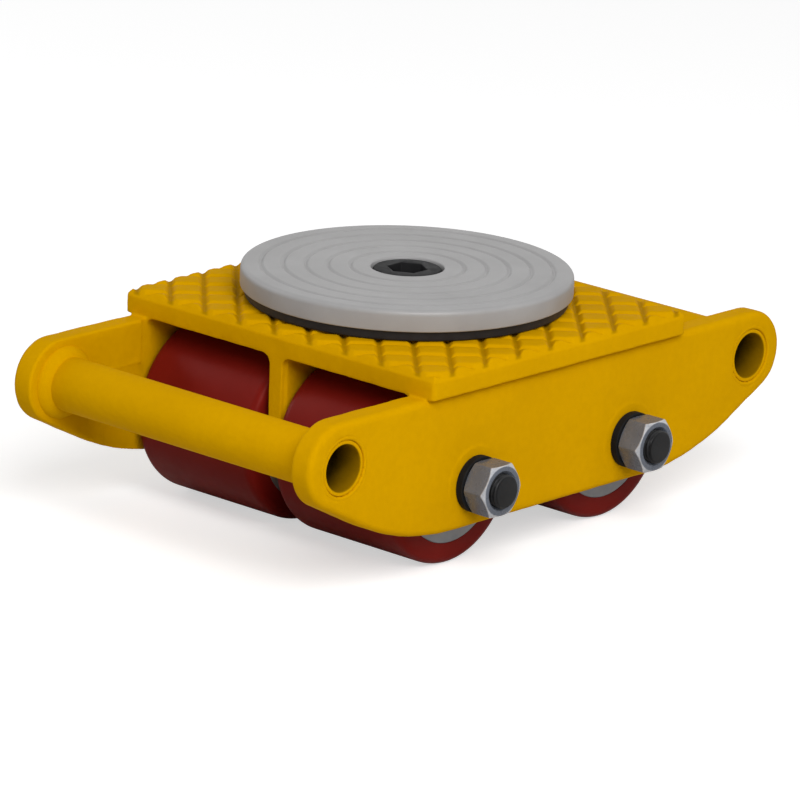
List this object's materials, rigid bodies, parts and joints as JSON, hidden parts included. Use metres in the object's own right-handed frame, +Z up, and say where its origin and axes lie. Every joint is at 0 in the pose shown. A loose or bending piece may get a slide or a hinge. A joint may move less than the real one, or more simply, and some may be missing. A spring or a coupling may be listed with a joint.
{
  "type": "machine skate",
  "caption": "Low machine skate: yellow cast frame with a lozenge tread deck, red polyurethane rollers on through axles, tube handles at both ends and a grooved swivelling turntable.",
  "frame": {"origin": "on the floor, in the middle of the footprint", "axes": "+X along the travel towards the front handle tube, +Y along the axles towards the left, +Z up"},
  "size_m": [0.332, 0.2322, 0.1162],
  "materials": {
    "yellow_paint": "thick glossy paint on a casting, soft cast texture, slightly orange yellow",
    "black_steel": "black oxide, low sheen",
    "zinc_steel": "zinc plated, satin, light scratches",
    "plain_steel": "turned steel, lightly oiled",
    "polyurethane": "moulded dark red polyurethane, soft sheen",
    "hub_iron": "machined grey iron",
    "seal_rubber": "matte black bearing seal",
    "bronze": "turned bronze",
    "black_plastic": "matte black slide ring",
    "disc_steel": "satin silver grey, fine turned texture",
    "bearing_steel": "ground bearing steel"
  },
  "bodies": {
    "frame": {"frame_casting": "yellow_paint", "handle_tube_front": "yellow_paint", "handle_tube_rear": "yellow_paint", "handle_welds": "yellow_paint", "axle_front": "black_steel", "axle_rear": "black_steel", "axle_nuts": "zinc_steel", "spring_washers": "black_steel", "spacer_washers": "plain_steel", "bearing_sleeves": "plain_steel", "bearing_inner_rings": "bearing_steel", "pivot_screw": "black_steel", "thrust_race_lower": "bearing_steel"},
    "front_left_roller": {"front_left_tyre": "polyurethane", "front_left_hub": "hub_iron", "front_left_outer_rings": "bearing_steel", "front_left_seals": "seal_rubber"},
    "front_left_bearing_cages": {"front_left_cages": "bronze", "front_left_balls": "bearing_steel"},
    "front_right_roller": {"front_right_tyre": "polyurethane", "front_right_hub": "hub_iron", "front_right_outer_rings": "bearing_steel", "front_right_seals": "seal_rubber"},
    "front_right_bearing_cages": {"front_right_cages": "bronze", "front_right_balls": "bearing_steel"},
    "rear_left_roller": {"rear_left_tyre": "polyurethane", "rear_left_hub": "hub_iron", "rear_left_outer_rings": "bearing_steel", "rear_left_seals": "seal_rubber"},
    "rear_left_bearing_cages": {"rear_left_cages": "bronze", "rear_left_balls": "bearing_steel"},
    "rear_right_roller": {"rear_right_tyre": "polyurethane", "rear_right_hub": "hub_iron", "rear_right_outer_rings": "bearing_steel", "rear_right_seals": "seal_rubber"},
    "rear_right_bearing_cages": {"rear_right_cages": "bronze", "rear_right_balls": "bearing_steel"},
    "turntable": {"thrust_race_upper": "bearing_steel", "pivot_bush": "bronze", "slide_ring": "black_plastic", "turntable_disc": "disc_steel"},
    "thrust_cage_set": {"thrust_cage": "bronze", "thrust_balls": "bearing_steel"}
  },
  "joints": [
    {"name": "front_left_spin", "type": "hinge", "parent": "frame", "child": "front_left_roller", "pos_m": [0.0545, 0, 0.0425], "axis": [0, 1, 0], "continuous": true},
    {"name": "front_right_spin", "type": "hinge", "parent": "frame", "child": "front_right_roller", "pos_m": [0.0545, 0, 0.0425], "axis": [0, 1, 0], "continuous": true},
    {"name": "rear_left_spin", "type": "hinge", "parent": "frame", "child": "rear_left_roller", "pos_m": [-0.0545, 0, 0.0425], "axis": [0, 1, 0], "continuous": true},
    {"name": "rear_right_spin", "type": "hinge", "parent": "frame", "child": "rear_right_roller", "pos_m": [-0.0545, 0, 0.0425], "axis": [0, 1, 0], "continuous": true},
    {"name": "front_left_cage_spin", "type": "hinge", "parent": "frame", "child": "front_left_bearing_cages", "pos_m": [0.0545, 0, 0.0425], "axis": [0, 1, 0], "continuous": true},
    {"name": "front_right_cage_spin", "type": "hinge", "parent": "frame", "child": "front_right_bearing_cages", "pos_m": [0.0545, 0, 0.0425], "axis": [0, 1, 0], "continuous": true},
    {"name": "rear_left_cage_spin", "type": "hinge", "parent": "frame", "child": "rear_left_bearing_cages", "pos_m": [-0.0545, 0, 0.0425], "axis": [0, 1, 0], "continuous": true},
    {"name": "rear_right_cage_spin", "type": "hinge", "parent": "frame", "child": "rear_right_bearing_cages", "pos_m": [-0.0545, 0, 0.0425], "axis": [0, 1, 0], "continuous": true},
    {"name": "turntable_swivel", "type": "hinge", "parent": "frame", "child": "turntable", "pos_m": [0, 0, 0.1112], "axis": [0, 0, 1], "continuous": true},
    {"name": "thrust_cage_spin", "type": "hinge", "parent": "frame", "child": "thrust_cage_set", "pos_m": [0, 0, 0.10365], "axis": [0, 0, 1], "continuous": true}
  ],
  "couplings": [
    {"joint": "front_left_cage_spin", "follows": "front_left_spin", "ratio": 0.618},
    {"joint": "front_right_cage_spin", "follows": "front_right_spin", "ratio": 0.618},
    {"joint": "rear_left_cage_spin", "follows": "rear_left_spin", "ratio": 0.618},
    {"joint": "rear_right_cage_spin", "follows": "rear_right_spin", "ratio": 0.618},
    {"joint": "thrust_cage_spin", "follows": "turntable_swivel", "ratio": 0.5}
  ]
}
